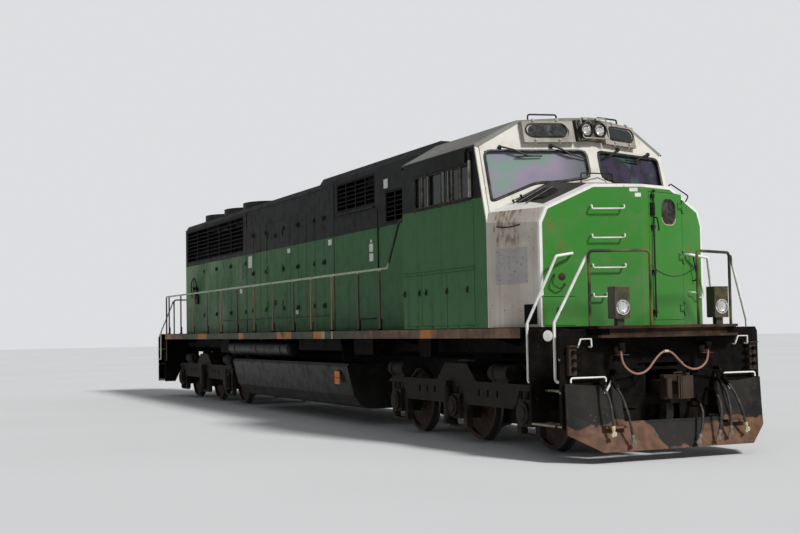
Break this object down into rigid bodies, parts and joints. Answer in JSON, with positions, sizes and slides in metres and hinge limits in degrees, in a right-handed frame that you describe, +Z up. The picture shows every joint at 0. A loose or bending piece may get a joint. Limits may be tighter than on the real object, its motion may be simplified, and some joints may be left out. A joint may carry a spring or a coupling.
{
  "type": "diesel locomotive",
  "caption": "Diesel-electric road locomotive with a full-width cab, long hood, swivelling bogies, turning wheelsets and fans, opening doors and swinging couplers.",
  "frame": {"origin": "midway between the couplers, on the centreline, at the lowest point of the wheel flanges", "axes": "+X towards the cab end along the vehicle, +Y to the vehicle's left, +Z up"},
  "size_m": [21.692, 3.214, 4.7779],
  "materials": {
    "bogie_grey": "matt, dusty",
    "motor_dark": "matt, oily",
    "wheel_steel": "rust brown with a worn tread",
    "frame_black": "matt, dusty",
    "coupler_cast": "rusty",
    "plough_rust": "worn to rust below",
    "hood_green": "faded",
    "grille_black": "matt",
    "fan_metal": "matt",
    "engine_paint": "satin",
    "roof_black": "matt, dusty",
    "cab_cream": "faded, streaked with rust",
    "nose_green": "satin",
    "floor_grey": "matt",
    "window_glass": "clear, slightly tinted",
    "lamp_lens": "clear lens",
    "rail_paint": "worn",
    "seat_cloth": "matt",
    "desk_grey": "satin",
    "cable_red": "matt",
    "hose_black": "matt",
    "coupling_metal": "worn"
  },
  "bodies": {
    "body": {"underframe": "frame_black", "pilots": "frame_black", "fuel_tank": "frame_black", "air_reservoirs": "frame_black", "underfloor_gear": "frame_black", "lamp_housings": "frame_black", "plough": "plough_rust", "hood_radiator": "hood_green", "hood_engine": "hood_green", "hood_front": "hood_green", "hood_grilles": "grille_black", "handbrake_wheel": "grille_black", "roof_fan_housings": "fan_metal", "engine_block": "engine_paint", "cab_side_left": "hood_green", "cab_side_right": "hood_green", "cab_front": "cab_cream", "cab_rear": "hood_green", "cab_roof": "roof_black", "cab_floor": "floor_grey", "nose_shell": "nose_green", "cab_glass": "window_glass", "lamp_lenses": "lamp_lens", "handrails_side": "rail_paint", "handrails_end": "rail_paint", "cab_seats": "seat_cloth", "control_desk": "desk_grey", "jumper_cable": "cable_red", "hose_front_1": "hose_black", "hose_front_2": "hose_black", "hose_front_3": "hose_black", "hose_front_4": "hose_black", "hose_front_5": "hose_black", "hose_front_6": "hose_black", "glad_hands_front": "coupling_metal"},
    "bogie_front": {"bogie_front_frame": "bogie_grey", "bogie_front_boxes": "bogie_grey", "bogie_front_motors": "motor_dark"},
    "wheelset_front_1": {"wheelset_front_1": "wheel_steel"},
    "wheelset_front_2": {"wheelset_front_2": "wheel_steel"},
    "wheelset_front_3": {"wheelset_front_3": "wheel_steel"},
    "bogie_rear": {"bogie_rear_frame": "bogie_grey", "bogie_rear_boxes": "bogie_grey", "bogie_rear_motors": "motor_dark"},
    "wheelset_rear_1": {"wheelset_rear_1": "wheel_steel"},
    "wheelset_rear_2": {"wheelset_rear_2": "wheel_steel"},
    "wheelset_rear_3": {"wheelset_rear_3": "wheel_steel"},
    "coupler_front": {"coupler_front": "coupler_cast"},
    "coupler_rear": {"coupler_rear": "coupler_cast"},
    "fan_rotor_rear": {"fan_rotor_rear": "fan_metal"},
    "fan_rotor_middle": {"fan_rotor_middle": "fan_metal"},
    "fan_rotor_front": {"fan_rotor_front": "fan_metal"},
    "fan_rotor_brake": {"fan_rotor_brake": "fan_metal"},
    "nose_door": {"nose_door": "nose_green"},
    "cab_door_left": {"cab_door_left": "hood_green"},
    "hood_door_left_a": {"hood_door_left_a": "hood_green"},
    "hood_door_left_b": {"hood_door_left_b": "hood_green"},
    "cab_door_right": {"cab_door_right": "hood_green"},
    "hood_door_right_a": {"hood_door_right_a": "hood_green"},
    "hood_door_right_b": {"hood_door_right_b": "hood_green"}
  },
  "joints": [
    {"name": "bogie_front_turn", "type": "hinge", "parent": "body", "child": "bogie_front", "pos_m": [6.945, 0, 1.168], "axis": [0, 0, 1], "range_deg": [-5, 5]},
    {"name": "wheelset_front_1_turn", "type": "hinge", "parent": "bogie_front", "child": "wheelset_front_1", "pos_m": [4.875, 0, 0.536], "axis": [0, 1, 0], "continuous": true},
    {"name": "wheelset_front_2_turn", "type": "hinge", "parent": "bogie_front", "child": "wheelset_front_2", "pos_m": [6.945, 0, 0.536], "axis": [0, 1, 0], "continuous": true},
    {"name": "wheelset_front_3_turn", "type": "hinge", "parent": "bogie_front", "child": "wheelset_front_3", "pos_m": [9.015, 0, 0.536], "axis": [0, 1, 0], "continuous": true},
    {"name": "bogie_rear_turn", "type": "hinge", "parent": "body", "child": "bogie_rear", "pos_m": [-6.945, 0, 1.168], "axis": [0, 0, 1], "range_deg": [-5, 5]},
    {"name": "wheelset_rear_1_turn", "type": "hinge", "parent": "bogie_rear", "child": "wheelset_rear_1", "pos_m": [-9.015, 0, 0.536], "axis": [0, 1, 0], "continuous": true},
    {"name": "wheelset_rear_2_turn", "type": "hinge", "parent": "bogie_rear", "child": "wheelset_rear_2", "pos_m": [-6.945, 0, 0.536], "axis": [0, 1, 0], "continuous": true},
    {"name": "wheelset_rear_3_turn", "type": "hinge", "parent": "bogie_rear", "child": "wheelset_rear_3", "pos_m": [-4.875, 0, 0.536], "axis": [0, 1, 0], "continuous": true},
    {"name": "coupler_front_turn", "type": "hinge", "parent": "body", "child": "coupler_front", "pos_m": [9.95, 0, 0.904], "axis": [0, 0, 1], "range_deg": [-7, 7]},
    {"name": "coupler_rear_turn", "type": "hinge", "parent": "body", "child": "coupler_rear", "pos_m": [-9.95, 0, 0.904], "axis": [0, 0, 1], "range_deg": [-7, 7]},
    {"name": "fan_rotor_rear_turn", "type": "hinge", "parent": "body", "child": "fan_rotor_rear", "pos_m": [-8.25, 0, 4.66], "axis": [0, 0, 1], "continuous": true},
    {"name": "fan_rotor_middle_turn", "type": "hinge", "parent": "body", "child": "fan_rotor_middle", "pos_m": [-6.5, 0, 4.66], "axis": [0, 0, 1], "continuous": true},
    {"name": "fan_rotor_front_turn", "type": "hinge", "parent": "body", "child": "fan_rotor_front", "pos_m": [-4.92, 0, 4.66], "axis": [0, 0, 1], "continuous": true},
    {"name": "fan_rotor_brake_turn", "type": "hinge", "parent": "body", "child": "fan_rotor_brake", "pos_m": [2.56, 0, 4.66], "axis": [0, 0, 1], "continuous": true},
    {"name": "nose_door_turn", "type": "hinge", "parent": "body", "child": "nose_door", "pos_m": [9.77646, 0.8588, 2.6], "axis": [0, 0, 1], "range_deg": [0, 50]},
    {"name": "cab_door_left_turn", "type": "hinge", "parent": "body", "child": "cab_door_left", "pos_m": [5.916, 0.985, 3.1], "axis": [0, 0, 1], "range_deg": [0, 90]},
    {"name": "hood_door_left_a_turn", "type": "hinge", "parent": "body", "child": "hood_door_left_a", "pos_m": [-2.57, 0.958, 3.04], "axis": [0, 0, 1], "range_deg": [0, 90]},
    {"name": "hood_door_left_b_turn", "type": "hinge", "parent": "body", "child": "hood_door_left_b", "pos_m": [-1.58, 0.958, 3.04], "axis": [0, 0, -1], "range_deg": [0, 90]},
    {"name": "cab_door_right_turn", "type": "hinge", "parent": "body", "child": "cab_door_right", "pos_m": [5.916, -0.985, 3.1], "axis": [0, 0, -1], "range_deg": [0, 90]},
    {"name": "hood_door_right_a_turn", "type": "hinge", "parent": "body", "child": "hood_door_right_a", "pos_m": [-2.57, -0.958, 3.04], "axis": [0, 0, -1], "range_deg": [0, 90]},
    {"name": "hood_door_right_b_turn", "type": "hinge", "parent": "body", "child": "hood_door_right_b", "pos_m": [-1.58, -0.958, 3.04], "axis": [0, 0, 1], "range_deg": [0, 90]}
  ]
}
